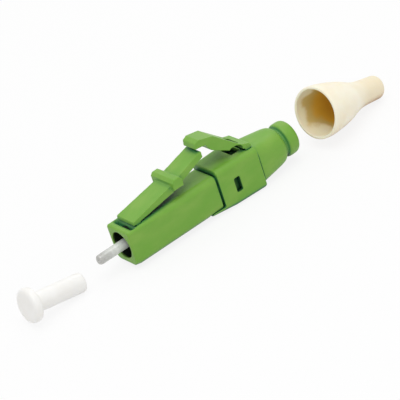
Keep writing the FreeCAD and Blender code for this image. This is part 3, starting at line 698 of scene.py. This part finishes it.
# %% The post behind the clip
post_low, post_high = span("back_post")
clip_low, clip_high = span("rear_housing")
bead_rear, post_front = post_low[0], post_high[0]
collar = clip_low[0] - 0.06     # the neck starts just behind the clip
step_front = collar + 0.52      # and a step sits in the clip's end
waist_rear, waist_front = bead_rear + 1.80, bead_rear + 2.10
round_from = waist_front + 0.2  # behind this place the neck is round
chamfer = 0.15
shank, step, neck, neck_end, waist, bead = 1.47, 2.00, 2.62, 2.40, 1.80, 2.22
fibre_bore, wide_bore = 0.50, 0.72
outer_skin = 1.6                # only what lies further out is squared


def squared(points):
    """Stretch each ring by 1 / (|cos|^4 + |sin|^4)^(1/4), wholly at the collar, not at round_from."""
    x, side, up = points[..., 0] / MM, points[..., 1], points[..., 2]
    radius = np.maximum(np.hypot(side, up), 1e-9)
    square = ((side / radius) ** 4 + (up / radius) ** 4) ** -0.25
    share = np.clip((x - round_from) / (collar - round_from), 0.0, 1.0) ** 0.7
    share = np.where((x < collar + 0.01) & (radius > outer_skin * MM), share, 0.0)
    points[..., 1:] *= (1 + share * (square - 1))[..., None]
    return points


turned_piece("post_and_bead", [
    (post_front, shank - chamfer, 0.05), (post_front - chamfer, shank, 0.05),
    (step_front, shank, 0.05), (step_front, step, 0.1), (collar, step, 0.02),
    (collar, neck, 0.20), (waist_front + 0.55, neck_end, 0.8),
    (waist_front + 0.12, neck_end - 0.22, 0.34), (waist_front, waist, 0.16),
    (waist_rear, waist, 0.16), (waist_rear - 0.22, bead, 0.30), (bead_rear, bead, 0.75),
    (bead_rear, fibre_bore, 0.12), (bead_rear + 4.0, fibre_bore, 0.04),
    (bead_rear + 4.15, wide_bore, 0.04), (post_front, wide_bore, 0.04),
], "back_post", "green_plastic", GREEN, bend=squared)

# %% [markdown]
# ## The ferrule
#
# The ferrule is a ground rod with a fine bore for the glass and a funnel at its rear. Its end
# is polished at eight degrees, so that what the glass reflects leaves the core. The slope could
# be cut with a boolean, but on a grid it is enough to bring every point that stands in front
# of the sloping plane back on to it.

# %% The ferrule
POLISH_SLOPE = math.tan(math.radians(8.0))
ferrule_low, ferrule_high = span("ferrule")
ferrule_rear, ferrule_radius = ferrule_low[0], ferrule_high[1]
ferrule_tip = 3.6               # where the sloping plane meets the underside
tip_cone, tip_cone_length = 0.17, 0.28
glass_hole = 0.0635
funnel, funnel_length = 0.31, 0.62


def polished(points):
    """x is at most tip - slope * (z + radius), the sloping plane."""
    plane = (ferrule_tip * MM) - POLISH_SLOPE * (points[..., 2] + ferrule_radius * MM)
    points[..., 0] = np.minimum(points[..., 0], plane)
    return points


turned_piece("ferrule_rod", [
    (ferrule_tip, glass_hole, 0.01), (ferrule_tip, ferrule_radius - tip_cone, 0.06),
    (ferrule_tip - tip_cone_length, ferrule_radius, 0.12), (ferrule_rear, ferrule_radius, 0.05),
    (ferrule_rear, funnel, 0.02), (ferrule_rear + funnel_length, glass_hole, 0.05),
], "ferrule", "zirconia", ZIRCONIA, bend=polished)

# %% [markdown]
# ## The flange and the guide tube
#
# The ferrule sits in a flange, whose six-sided collar keeps it from turning in the body, and a
# thin tube leads the fibre on through the spring. The flange is turned with a round collar
# first. A bend then pulls the collar's rings in to a hexagon, as a milling cutter would.

# %% The flange and the guide tube
flange_low, flange_high = span("ferrule_flange")
flange_front, flange_rear, collar_radius = flange_high[0], flange_low[0], flange_high[1]
collar_rear = flange_rear + 2.2
collar_front = collar_rear + 1.4
barrel, spigot, tube_hole = 1.1, 0.92, 0.47
socket, socket_end = ferrule_radius + 0.02, ferrule_rear - 0.02


def six_sided(points):
    """Pull points outside the barrel in to a hexagon: apothem / cos(angle from the flat's middle)."""
    radius = np.hypot(points[..., 1], points[..., 2])
    angle = np.arctan2(points[..., 2], points[..., 1])
    from_flat = np.mod(angle, np.pi / 3) - np.pi / 6
    flat = collar_radius * MM * math.cos(math.pi / 6) / np.cos(from_flat)
    wide = radius > barrel * MM * 1.02
    pull = np.where(wide, np.minimum(flat, radius) / np.maximum(radius, 1e-9), 1.0)
    points[..., 1:] *= pull[..., None]
    return points


turned_piece("flange_with_collar", [
    (flange_front, socket, 0.05), (flange_front, barrel, 0.10), (collar_front, barrel, 0.04),
    (collar_front, collar_radius, 0.10), (collar_rear, collar_radius, 0.10), (collar_rear, spigot, 0.04),
    (flange_rear, spigot, 0.10), (flange_rear, tube_hole, 0.04), (socket_end, tube_hole, 0.02),
    (socket_end, socket, 0.02),
], "ferrule_flange", "flange_metal", NICKEL, bend=six_sided)

tube_low, tube_high = span("guide_tube")
tube_front, tube_rear, tube_radius, tube_bore = tube_high[0], tube_low[0], tube_high[1], 0.33
turned_piece("fibre_guide_tube", [
    (tube_front, tube_bore, 0.03), (tube_front, tube_radius, 0.05),
    (tube_rear, tube_radius, 0.05), (tube_rear, tube_bore, 0.03),
], "guide_tube", "guide_plastic", MILKY)

# %% [markdown]
# ## The spring
#
# A coil spring is a round wire carried along a helix. Real springs end in closed coils that
# lie flat against what they push, so the helix climbs slowly at both ends and faster in
# between. When the ferrule is pushed in, the spring shortens towards its fixed end on the post.

# %% The spring
CLOSED_PITCH = 0.18             # pitch of the end coils, as a share of the middle's


def coil_points(start, end, radius, wire, turns, steps=620, around=16):
    """A tube along a helix: place(t) + wire * (cos a * outwards + sin a * across), t from 0 to 1.

    The place is (start + climb(t), radius cos w, radius sin w); the climb eases at both ends.
    """
    t = np.linspace(0.0, 1.0, steps)
    pitch = np.clip(np.minimum(t, 1.0 - t) * turns, CLOSED_PITCH, 1.0)
    climb = np.concatenate([[0.0], np.cumsum((pitch[1:] + pitch[:-1]) / 2)])
    x = start + wire + (end - start - 2 * wire) * climb / climb[-1]
    turn = 2 * np.pi * turns * t
    outwards = np.stack([np.zeros(steps), np.cos(turn), np.sin(turn)], axis=1)
    place = radius * outwards + np.stack([x, np.zeros(steps), np.zeros(steps)], axis=1)
    along = np.gradient(place, axis=0)
    along /= np.linalg.norm(along, axis=1, keepdims=True)
    across = np.cross(along, outwards)
    angle = np.linspace(0.0, 2 * np.pi, around, endpoint=False)[None, :, None]
    ring = np.cos(angle) * outwards[:, None] + np.sin(angle) * across[:, None]
    tube = place[:, None] + wire * ring
    ends = np.repeat(place[[0, -1], None], around, axis=1)
    return np.concatenate([ends[:1], tube, ends[1:]])


coils_low, coils_high = span("compression_spring")
wire = 0.16                     # the wire's radius
coils = coil_points(coils_low[0], coils_high[0], coils_high[2] - wire, wire, turns=7.5) * MM
spring = make_piece("coil_spring", coils.reshape(-1, 3), ring_quads(len(coils), coils.shape[1], False),
                    "compression_spring", "spring_steel", WIRE)
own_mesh(spring)

# %% [markdown]
# ## Where a loose piece lies
#
# The boot and the cap lie pulled off, turned and tipped, so each one's axis is measured before
# it is turned. The skin of a long round piece is spread furthest along its axis, and the
# direction of the widest spread is the last eigenvector of the skin's moments. Written angles
# would do as well, but would have to be kept in step with the solids.

# %% Where a loose piece lies
def skin(node):
    """Middle and area of every triangle of a CAD node, and all its points, as arrays."""
    mesh = frame["nodes"][node].data
    mesh.calc_loop_triangles()
    points = np.zeros(len(mesh.vertices) * 3)
    mesh.vertices.foreach_get("co", points)
    points = points.reshape(-1, 3)
    corners = np.zeros(len(mesh.loop_triangles) * 3, int)
    mesh.loop_triangles.foreach_get("vertices", corners)
    triangles = points[corners.reshape(-1, 3)]
    cross = np.cross(triangles[:, 1] - triangles[:, 0], triangles[:, 2] - triangles[:, 0])
    return triangles.mean(axis=1), np.linalg.norm(cross, axis=1) / 2, points


def lying_axis(node):
    """A turned node's front end and axis in metres, and its length and radius in millimetres.

    The axis is the line through the skin's middle along which the skin is spread furthest.
    """
    middles, areas, points = skin(node)
    centre = (middles * areas[:, None]).sum(axis=0) / areas.sum()
    apart = (middles - centre) * np.sqrt(areas)[:, None]
    axis = np.linalg.eigh(apart.T @ apart)[1][:, -1]
    axis *= np.sign(axis[0])
    along = (points - centre) @ axis
    radius = np.linalg.norm(points - centre - along[:, None] * axis, axis=1)
    return centre + axis * along.max(), axis, np.ptp(along) / MM, radius.max() / MM


boot_place, boot_axis, boot_length, mouth = lying_axis("boot")
head_place, cap_axis, cap_length, head = lying_axis("dust_cap")
print(f"boot: {boot_length:.2f} mm long, {2 * mouth:.2f} mm across, axis", boot_axis.round(4))
print(f"cap: {cap_length:.2f} mm long, {2 * head:.2f} mm across, axis", cap_axis.round(4))

# %% [markdown]
# ## The boot
#
# The strain-relief boot is soft and thin: a bell that snaps over the bead, an S-shaped waist,
# and a short tail round the fibre. It is turned like the rest. For its finish every point is
# marked with its depth inside the bell, for painted shade, less in two patches of painted light
# where the wall lets more light in, and with how far it lies towards the tail.

# %% The boot
band, bell, throat = 1.1, 8.6, 7.3  # places behind the mouth
shoulder, shoulder_radius = 4.4, 2.80
throat_radius, boot_waist, boot_tail, boot_bore = 1.76, 1.64, 1.52, 0.55
boot_wall = 0.34
# painted light: two paler patches inside the bell, where the wall looks lit from outside
PAINTED_LIGHT_PATCHES = ((2.35, 0.42, 0.14, 0.13), (4.55, 0.60, 0.24, 0.15))  # angle, wide, depth, long
PATCH_STRENGTH = 0.8
WARM_FROM, WARM_OVER, WARM_MOST = 6.0, 4.0, 0.7


def bell_shade_and_light(along, radius, angle):
    """Painted shade: nought outside, and inside from nought at the mouth to one at the bottom of the
    bell.

    Each patch of painted light takes off strength * exp(-((angle - a) / wide)^2 - ((depth - d) /
    long)^2) of it.
    """
    under_skin = np.interp(-along, [0.0, band, bell], [mouth, mouth, boot_waist]) - radius
    inner = np.clip((under_skin - boot_wall / 2) / 0.12, 0.0, 1.0) * (along > 0.5 - boot_length)
    depth = np.clip(-along / bell, 0.0, 1.0)
    for a, wide, d, long in PAINTED_LIGHT_PATCHES:
        nearness = np.exp(-((angle - a) / wide) ** 2 - ((depth - d) / long) ** 2)
        depth = depth * (1 - PATCH_STRENGTH * nearness)
    return inner * depth


def towards_tail(along, radius, angle):
    """(distance behind the mouth - WARM_FROM) / WARM_OVER, from nought up to WARM_MOST."""
    return np.clip((-along - WARM_FROM) / WARM_OVER, 0.0, WARM_MOST) + 0.0 * angle


turned_piece("strain_relief_boot", [
    (0, mouth - boot_wall, 0.12), (0, mouth, 0.16), (-band, mouth, 0.7),
    (-shoulder, shoulder_radius, 1.6), (-throat, throat_radius, 1.4),
    (-bell - 0.6, boot_waist - 0.04, 1.0), (-boot_length, boot_tail, 0.55),
    (-boot_length, boot_bore, 0.10), (boot_wall - bell, boot_bore, 0.10),
    (boot_wall - bell, boot_waist - boot_wall, 0.4), (-band, mouth - boot_wall, 0.9),
], "boot", "boot_ivory", IVORY, place=boot_place, axis=boot_axis,
    depth=bell_shade_and_light, towards_tail=towards_tail)

# %% [markdown]
# ## The dust cap
#
# The cap is a thin blind tube with a round head to pull it by. Both ends of its profile touch
# the axis, once in the middle of the head and once at the bottom of the bore, so this profile
# stays open and its end rows close into poles.

# %% The dust cap
cap_place = head_place - cap_axis * cap_length * MM
sleeve, head_length, cap_bore, bore_depth = 1.22, 1.15, 0.66, 5.8
head_rear = cap_length - head_length
turned_piece("ferrule_dust_cap", [
    (cap_length, 0, 0), (cap_length, head, 0.62), (head_rear, head, 0.45), (head_rear, sleeve, 0.22),
    (0, sleeve, 0.22), (0, cap_bore, 0.10), (bore_depth, cap_bore, 0.10), (bore_depth, 0, 0),
], "dust_cap", "cap_translucent", CLEAR, place=cap_place, axis=cap_axis, closed=False)

# %% [markdown]
# ## Casting a skin anew
#
# The body, the clip, the latch and the trigger come out of a polished mould with soft edges and
# softly filled corners. Rounding them by hand would mean a radius for every edge. Instead the
# solid's skin is cast anew as an even net of small quads, which the next step relaxes. This is
# done on a copy in which a millimetre is one unit.

# %% Casting a skin anew
def even_net(node, cell, cutter=None):
    """A CAD node's skin, merged, cut if asked, and cast anew: its points in mm, edges and quads."""
    mesh = frame["nodes"][node].data.copy()
    mesh.transform(Matrix.Scale(1.0 / MM, 4))
    net = bmesh.new()
    net.from_mesh(mesh)
    bmesh.ops.remove_doubles(net, verts=net.verts, dist=0.0005)
    net.to_mesh(mesh)
    net.free()
    holder = in_scene("casting", mesh)
    if cutter:
        cut = holder.modifiers.new("cut", "BOOLEAN")
        cut.operation = "DIFFERENCE"
        cut.solver = "EXACT"
        cut.object = cutter
    recast = holder.modifiers.new("recast", "REMESH")
    recast.mode = "VOXEL"
    recast.voxel_size = cell
    finished = holder.evaluated_get(bpy.context.evaluated_depsgraph_get())
    cast = bpy.data.meshes.new_from_object(finished)
    points = np.zeros(len(cast.vertices) * 3)
    cast.vertices.foreach_get("co", points)
    edges = np.zeros(len(cast.edges) * 2, int)
    cast.edges.foreach_get("vertices", edges)
    corners = np.zeros(len(cast.loops), int)
    cast.loops.foreach_get("vertex_index", corners)
    for spent in filter(None, (holder, cutter)):
        bpy.data.objects.remove(spent)
    return points.reshape(-1, 3), edges.reshape(-1, 2), corners.reshape(-1, 4)


# %% [markdown]
# ## Relaxing a net
#
# In each round every point moves towards the mean of its neighbours, and then a little further
# back. That rounds what is sharp and keeps what is broad, and the number of rounds sets the
# radius. The wide shells get a coarser net, because their edges run along it. The two levers
# run aslant through theirs, so they get a finer one and more rounds. They are also taken in a
# little all round, so that they stay clear of the seats that they turn in.

# %% Relaxing a net
WIDE_CELL, FINE_CELL = 0.085, 0.058  # side of the quads, in mm
EASE, PUSH_BACK = 0.5, -0.52


def summed(at, values, size):
    """For each of size places, the sum of the rows of values that belong to it."""
    return np.stack([np.bincount(at, values[:, k], size) for k in range(3)], axis=1)


def relaxed(points, edges, rounds):
    """Each round: point + EASE * (mean of neighbours - point), then the same with PUSH_BACK."""
    ends = np.concatenate([edges, edges[:, ::-1]])
    count = np.bincount(ends[:, 0], minlength=len(points))[:, None]
    for _ in range(rounds):
        for share in (EASE, PUSH_BACK):
            total = summed(ends[:, 0], points[ends[:, 1]], len(points))
            points = points + share * (total / count - points)
    return points


def slimmed(points, faces, depth):
    """point - depth * normal, where the normal is the mean of the neighbouring quads' normals."""
    across = points[faces[:, 2]] - points[faces[:, 0]]
    cross = np.cross(across, points[faces[:, 3]] - points[faces[:, 1]])
    normal = summed(faces.ravel(), np.repeat(cross, 4, axis=0), len(points))
    return points - depth * normal / np.maximum(np.linalg.norm(normal, axis=1, keepdims=True), 1e-12)


def moulded_piece(name, node, cell, rounds, shapes=(), cutter=None, slim=0.0, **marks):
    """Cast a node's skin, shape it, relax it, slim it, and keep it inside the node's own box."""
    points, edges, faces = even_net(node, cell, cutter)
    for shape in shapes:
        points = shape(points)
    low, high = span(node)
    points = np.clip(slimmed(relaxed(points, edges, rounds), faces, slim), low, high)
    marks = {mark: work(points) for mark, work in marks.items()}
    return make_piece(name, points * MM, faces, node, "green_plastic", GREEN, **marks)


# %% [markdown]
# ## The plug body
#
# The body is the square nose with the ferrule's cavity in it, and the shank that goes into the
# clip. Its lower corners are rounder at the front and its upper corners rounder at the rear,
# and a shallow groove crosses the top in front of the latch's root. The solid has one radius
# all along, so all this is worked into the net before it is relaxed. The cavity and the shank
# inside the clip are marked for painted shade, because hardly any light gets there.

# %% The plug body
plug_low, plug_high = span("front_housing")
cavity = 1.75                   # radius of the hole round the ferrule
cheeks_start = clip_high[0] - 2.4  # behind this place the clip covers the shank
# painted shade: how dark the shank under the clip and the cavity are painted
SHANK_SHADE = 0.68
BORE_FROM, BORE_OVER = 0.02, 0.3  # the cavity darkens over the first part of its depth
LOWER_RADIUS, LOWER_MORE, LOWER_FROM, LOWER_OVER = 0.45, 0.75, -2.6, 2.4
UPPER_RADIUS, UPPER_MORE, UPPER_FROM, UPPER_OVER = 0.40, 0.45, -2.5, 4.0
groove_x = span("latch_arm")[1][0] + 0.20
groove_wide, groove_deep = 0.36, 0.44
groove_end, groove_fade = 2.0, 0.25  # its ends, and how soon it fades out before them
top_skin = 0.45                 # how far down the top's net may be moved


def round_corners(points, wide, high, radius, side):
    """Bring what stands outside a circle of this radius, tucked into both corners of a side, on to it.

    The point goes to middle + (point - middle) * radius / distance; side is +1 above and -1 below.
    """
    out = np.abs(points[:, 1]) - (wide - radius)
    up = side * points[:, 2] - (high - radius)
    reach = np.hypot(out, up)
    corner = (out > 0) & (up > 0) & (reach > radius)
    pull = np.where(corner, radius / np.maximum(reach, 1e-9), 1.0)
    points[:, 1] = np.where(corner, np.sign(points[:, 1]) * (wide - radius + out * pull), points[:, 1])
    points[:, 2] = np.where(corner, side * (high - radius + up * pull), points[:, 2])
    return points


def blunt_nose(points):
    """Lower corners get radius + more * near^2, and upper corners get radius + more * back."""
    near = np.clip((points[:, 0] - LOWER_FROM) / LOWER_OVER, 0.0, 1.0)
    lower = LOWER_RADIUS + LOWER_MORE * near * near
    points = round_corners(points, plug_high[1], -plug_low[2], lower, -1)
    back = np.clip((UPPER_FROM - points[:, 0]) / UPPER_OVER, 0.0, 1.0)
    upper = UPPER_RADIUS + UPPER_MORE * back
    return round_corners(points, plug_high[1], plug_high[2], upper, 1)


def cross_groove(points):
    """Sink the top by deep * exp(-(distance / wide)^2), fading out before the sides."""
    ahead = (points[:, 0] - groove_x) / groove_wide
    fade = np.clip((groove_end - np.abs(points[:, 1])) / groove_fade, 0.0, 1.0)
    upper = points[:, 2] > plug_high[2] - top_skin
    points[:, 2] -= np.where(upper, groove_deep * np.exp(-ahead ** 2) * fade, 0.0)
    return points


def down_the_bore(points):
    """Painted shade: up to one in the cavity, SHANK_SHADE where the clip covers the shank, nought
    elsewhere.
    """
    radius = np.hypot(points[:, 1], points[:, 2])
    bored = np.where(radius < cavity * 1.06, np.clip((BORE_FROM - points[:, 0]) / BORE_OVER, 0, 1), 0.0)
    return np.maximum(bored, np.where(points[:, 0] < cheeks_start, SHANK_SHADE, 0.0))


moulded_piece("plug_body", "front_housing", WIDE_CELL, 14, (blunt_nose, cross_groove),
              in_bore=down_the_bore)

# %% [markdown]
# ## The clip
#
# The clip snaps over the shank, with a window in each cheek for the shank's catches. Its two
# upper corners get one radius all along. The windows' walls are marked for painted shade, a
# deeper green, and the mark stops just under the skin, because it would bleed on to the cheeks
# otherwise.

# %% The clip
SHOULDER_RADIUS = 0.85
WINDOW_SHADE = 0.45
window_front, window_rear = clip_high[0] - 3.9, clip_high[0] - 4.97
window_low, window_high = -1.35, 0.75
UNDER_SKIN = 0.1


def soft_shoulders(points):
    """The clip's two upper corners, with one radius all along."""
    return round_corners(points, clip_high[1], clip_high[2], SHOULDER_RADIUS, 1)


def in_the_window(points):
    """Painted shade of WINDOW_SHADE on both windows' walls, from UNDER_SKIN below the cheeks' skin,
    nought elsewhere.
    """
    x, beside, z = points[:, 0], np.abs(points[:, 1]), points[:, 2]
    framed = (x < window_front) & (x > window_rear) & (z > window_low) & (z < window_high)
    return np.where(framed & (beside < beside[framed].max() - UNDER_SKIN), WINDOW_SHADE, 0.0)


moulded_piece("rear_clip", "rear_housing", WIDE_CELL, 14, (soft_shoulders,), in_bore=in_the_window)

# %% [markdown]
# ## The latch and the trigger
#
# The latch bends on the nose and the trigger on the clip, and the trigger's tip pushes the
# latch's tail down. The trigger is scooped out from the side near its root, so that it bends.
# The scoop is a bar with an oval section, taken away from the solid before it is cast anew.

# %% The latch and the trigger
LEVER_SLIM = 0.035
scoop_x, scoop_z = clip_low[0] + 2.23, clip_high[2] + 0.52
scoop_long, scoop_high, scoop_wide = 1.0, 0.62, 3.0  # half of each size


def oval_bar(x, z, half_long, half_high, half_wide, around=48):
    """A bar across the part with an oval section: (x + a cos t, +-width, z + b sin t), in mm."""
    t = np.linspace(0.0, 2 * np.pi, around, endpoint=False)
    oval = np.stack([x + half_long * np.cos(t), np.zeros(around), z + half_high * np.sin(t)], axis=1)
    points = np.concatenate([oval + [0, side * half_wide, 0] for side in (-1, 1)])
    sides = ring_quads(2, around, closed=False).tolist()
    caps = [list(range(around)), list(range(around, 2 * around))]
    mesh = bpy.data.meshes.new("bar")
    mesh.from_pydata(points.tolist(), [], sides + caps)
    close_seams(mesh)
    return in_scene("bar", mesh)


moulded_piece("latch_lever", "latch_arm", FINE_CELL, 22, slim=LEVER_SLIM)
scoop = oval_bar(scoop_x, scoop_z, scoop_long, scoop_high, scoop_wide)
moulded_piece("anti_snag_trigger", "trigger_lever", FINE_CELL, 24, cutter=scoop, slim=LEVER_SLIM)
